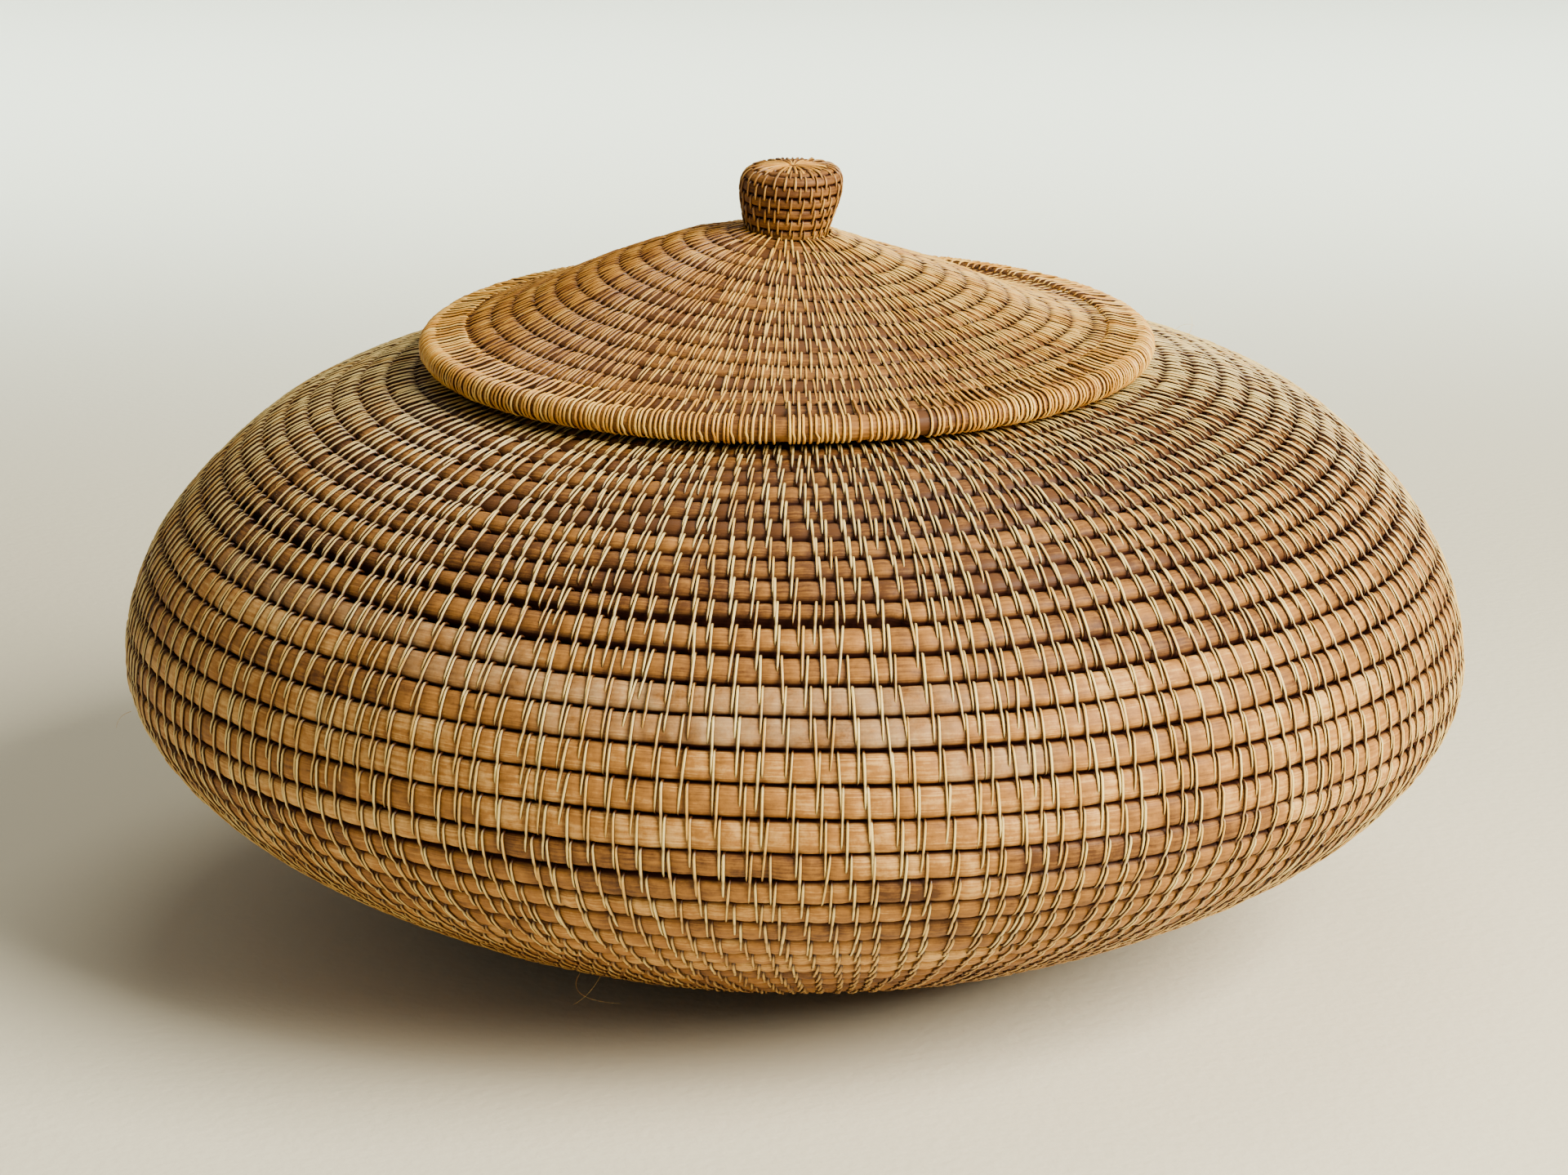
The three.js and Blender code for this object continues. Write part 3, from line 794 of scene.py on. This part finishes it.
# The knob
# The lid's coil begins in the flat top of the knob, from the finest core. The strips of the top
# all meet in the middle. The side is turned down over a hollow and stands in the dome's neck.
KNOB_TOP_RADIUS = 0.0096
KNOB_TOP_HEIGHT = 0.0592
knob_line = curve_through([
    (0.0115, 0.0345),
    (0.0118, 0.0390),
    (0.0137, 0.0455),
    (0.0150, 0.0520),
    (0.0146, 0.0565),
    (0.0126, 0.0586),
    (KNOB_TOP_RADIUS, KNOB_TOP_HEIGHT),
])
KNOB_SIDE_COURSES = 8
KNOB_TOP_COURSES = 3
knob_side_length = line_lengths(knob_line)[-1]
knob_top_line = np.stack([np.linspace(KNOB_TOP_RADIUS, 0.0, 20), np.full(20, KNOB_TOP_HEIGHT)], axis=1)
knob_coil = Coil(
    np.concatenate([knob_line, knob_top_line[1:]]),
    [(0, 0), (KNOB_SIDE_COURSES, knob_side_length),
     (KNOB_SIDE_COURSES + KNOB_TOP_COURSES, knob_side_length + KNOB_TOP_RADIUS)],
    crest=0.0003, depth=0.0026, middle=LID_MIDDLE,
)
knob_pieces = [
    ("knob_side_core", "knob_side_coil", -0.45, 4, -0.02),
    ("knob_shoulder_core", "knob_shoulder_coil", 4, 8, 0.0),
    ("knob_top_core", "knob_top_coil", 8, 11.4, 0.0),
]
KNOB_LEAN = 0.08
KNOB_LEAN_START = SEAT_HEIGHT + 0.043
KNOB_THIN = [(-1, 12, 0.12)]


def lean_right(piece):
    """The knob is set a little aslant, with its top to the right."""
    corners = np.zeros(len(piece.data.vertices) * 3)
    piece.data.vertices.foreach_get("co", corners)
    corners = corners.reshape(-1, 3)
    corners[:, 0] += KNOB_LEAN * (corners[:, 2] - KNOB_LEAN_START)
    piece.data.vertices.foreach_set("co", corners.ravel())
    piece.data.update()


for name, node, first, last, shade in knob_pieces:
    piece = wind_core(name, knob_coil, first, last, shade, seed=int(last * 5), step=0.0009,
                      thin=KNOB_THIN)
    lean_right(piece)
    piece.data.materials.append(core_finish)
    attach(piece, "lid")
    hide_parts(node)
KNOB_PATH = OUTER_PATH[:10].copy()
KNOB_PATH[5:, 0] = [-0.26, -0.44, -0.56, -0.70, -0.86]
KNOB_PATH[5:, 1] = [-0.04, -0.25, -0.15, -0.50, -1.80]
KNOB_SPACINGS = [(0.009, 0.0028), (0.016, 0.0034)]
KNOB_STITCH_WIDTH = 0.00078
knob_stitches = lay_stitches(knob_coil, 0.2, 8.6, KNOB_SPACINGS, drift=0.35, seed=31)
knob_sewing = sew("knob_stitches", knob_coil, knob_stitches, KNOB_PATH, KNOB_STITCH_WIDTH,
                  STITCH_STAND, seed=32, shade=-0.10)
lean_right(knob_sewing)
knob_sewing.data.materials.append(strip_finish)
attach(knob_sewing, "lid")

TOP_STRIPS = 26
TOP_STRIP_START = 0.0116
TOP_STRIP_WIDTH = 0.0011
top_chance = np.random.default_rng(33)
top_places = np.arange(TOP_STRIPS) + top_chance.uniform(-0.25, 0.25, TOP_STRIPS)
top_azimuths = top_places * 2 * math.pi / TOP_STRIPS
top_reach = np.linspace(0, 1, 8)[None, :] * np.ones((TOP_STRIPS, 1))
top_ends = top_chance.uniform(0.0004, 0.0022, (TOP_STRIPS, 1))
top_radius = TOP_STRIP_START * (1 - top_reach) + top_ends * top_reach
top_height = SEAT_HEIGHT + KNOB_TOP_HEIGHT + 0.0003
top_height = top_height - 0.0009 * (1 - top_reach) ** 3 - 0.0006 * top_reach ** 6
top_width = TOP_STRIP_WIDTH * (1 - 0.45 * top_reach)
top_across = STRIP_SECTION[None, None, :, 0] * top_width[:, :, None]
top_rise = STRIP_SECTION[None, None, :, 1] * STITCH_STAND
top_ray = top_azimuths[:, None, None]
top_strips = np.stack([
    LID_MIDDLE[0] + top_radius[:, :, None] * np.cos(top_ray) - top_across * np.sin(top_ray),
    LID_MIDDLE[1] + top_radius[:, :, None] * np.sin(top_ray) + top_across * np.cos(top_ray),
    top_height[:, :, None] + top_rise,
], axis=-1)
top_tone = top_chance.normal(0.1, 0.08, (TOP_STRIPS, 1, 1))
# Painted shade: the strips on the knob's top are darker along their sides.
top_depth = 0.4 * (1 - STRIP_SECTION[None, None, :, 1])
top_sewing = cane_mesh("knob_top_stitches", top_strips, top_tone, top_depth)
lean_right(top_sewing)
top_sewing.data.materials.append(lid_strip_finish)
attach(top_sewing, "lid")


# The studio
# The basket stands on a plain pale table. Soft light comes mostly from the right, with less from
# above and behind, and the far part of the table is lit on its own.
def plain_surface(name, corners, colour):
    """A flat matt surface with a slight grain."""
    mesh = bpy.data.meshes.new(name)
    mesh.from_pydata(corners, [], [(0, 1, 2, 3)])
    surface = bpy.data.objects.new(name, mesh)
    bpy.context.scene.collection.objects.link(surface)
    material = bpy.data.materials.new(name)
    material.use_nodes = True
    nodes = material.node_tree.nodes
    link = material.node_tree.links.new
    shader = nodes["Principled BSDF"]
    shader.inputs["Base Color"].default_value = (*colour, 1)
    shader.inputs["Roughness"].default_value = 0.9
    plaster = nodes.new("ShaderNodeTexNoise")
    plaster.inputs["Scale"].default_value = 260
    plaster.inputs["Detail"].default_value = 3
    place = nodes.new("ShaderNodeTexCoord")
    link(place.outputs["Object"], plaster.inputs["Vector"])
    bump = nodes.new("ShaderNodeBump")
    bump.inputs["Strength"].default_value = 0.35
    bump.inputs["Distance"].default_value = 0.0008
    link(plaster.outputs["Fac"], bump.inputs["Height"])
    link(bump.outputs["Normal"], shader.inputs["Normal"])
    surface.data.materials.append(material)


plain_surface("table", [(-3, -3, 0), (3, -3, 0), (3, 3, 0), (-3, 3, 0)], (0.77, 0.72, 0.53))


def soft_light(name, location, target, size, power, colour, spread=180):
    """A rectangular light that faces its target."""
    data = bpy.data.lights.new(name, "AREA")
    data.shape = "RECTANGLE"
    data.size = size[0]
    data.size_y = size[1]
    data.energy = power
    data.color = colour
    data.spread = math.radians(spread)
    lamp = bpy.data.objects.new(name, data)
    lamp.location = location
    direction = np.array(target) - np.array(location)
    flat = math.hypot(direction[0], direction[1])
    lamp.rotation_euler = (math.atan2(flat, -direction[2]), 0, math.atan2(-direction[0], direction[1]))
    bpy.context.scene.collection.objects.link(lamp)


soft_light("window", (1.20, -0.80, 1.10), (0, 0, 0.08), (1.25, 1.05), 106, (1.0, 0.95, 0.85))
soft_light("ceiling light", (0.1, 0.6, 1.5), (0, 0, 0.1), (1.0, 0.8), 8, (1.0, 0.95, 0.85))
soft_light("far window", (0.3, 1.6, 1.3), (0.3, 1.6, 0), (3.4, 1.2), 54, (0.74, 0.91, 1.0), spread=60)
world = bpy.data.worlds.new("studio")
world.use_nodes = True
world.node_tree.nodes["Background"].inputs["Color"].default_value = (0.92, 0.90, 0.86, 1)
world.node_tree.nodes["Background"].inputs["Strength"].default_value = 0.30
bpy.context.scene.world = world


# The camera
# It looks slightly down on the basket from in front, as the photograph does.
CAMERA_PLACE = (0.0007, -1.4230, 0.4991)
CAMERA_DOWN = math.radians(15.47)
CAMERA_TURN = math.radians(-0.17)
CAMERA_ROLL = math.radians(0.50)
CAMERA_LENS = 108.75
camera_data = bpy.data.cameras.new("camera")
camera_data.lens = CAMERA_LENS
camera_data.sensor_width = 36
camera = bpy.data.objects.new("camera", camera_data)
ahead = np.array([
    math.sin(CAMERA_TURN) * math.cos(CAMERA_DOWN),
    math.cos(CAMERA_TURN) * math.cos(CAMERA_DOWN),
    -math.sin(CAMERA_DOWN),
])
level_right = np.cross(ahead, (0, 0, 1))
level_right /= np.linalg.norm(level_right)
level_up = np.cross(level_right, ahead)
right = math.cos(CAMERA_ROLL) * level_right + math.sin(CAMERA_ROLL) * level_up
up = -math.sin(CAMERA_ROLL) * level_right + math.cos(CAMERA_ROLL) * level_up
pose = np.eye(4)
pose[:3, 0] = right
pose[:3, 1] = up
pose[:3, 2] = -ahead
pose[:3, 3] = CAMERA_PLACE
camera.matrix_world = pose.T.tolist()
bpy.context.scene.collection.objects.link(camera)
bpy.context.scene.camera = camera
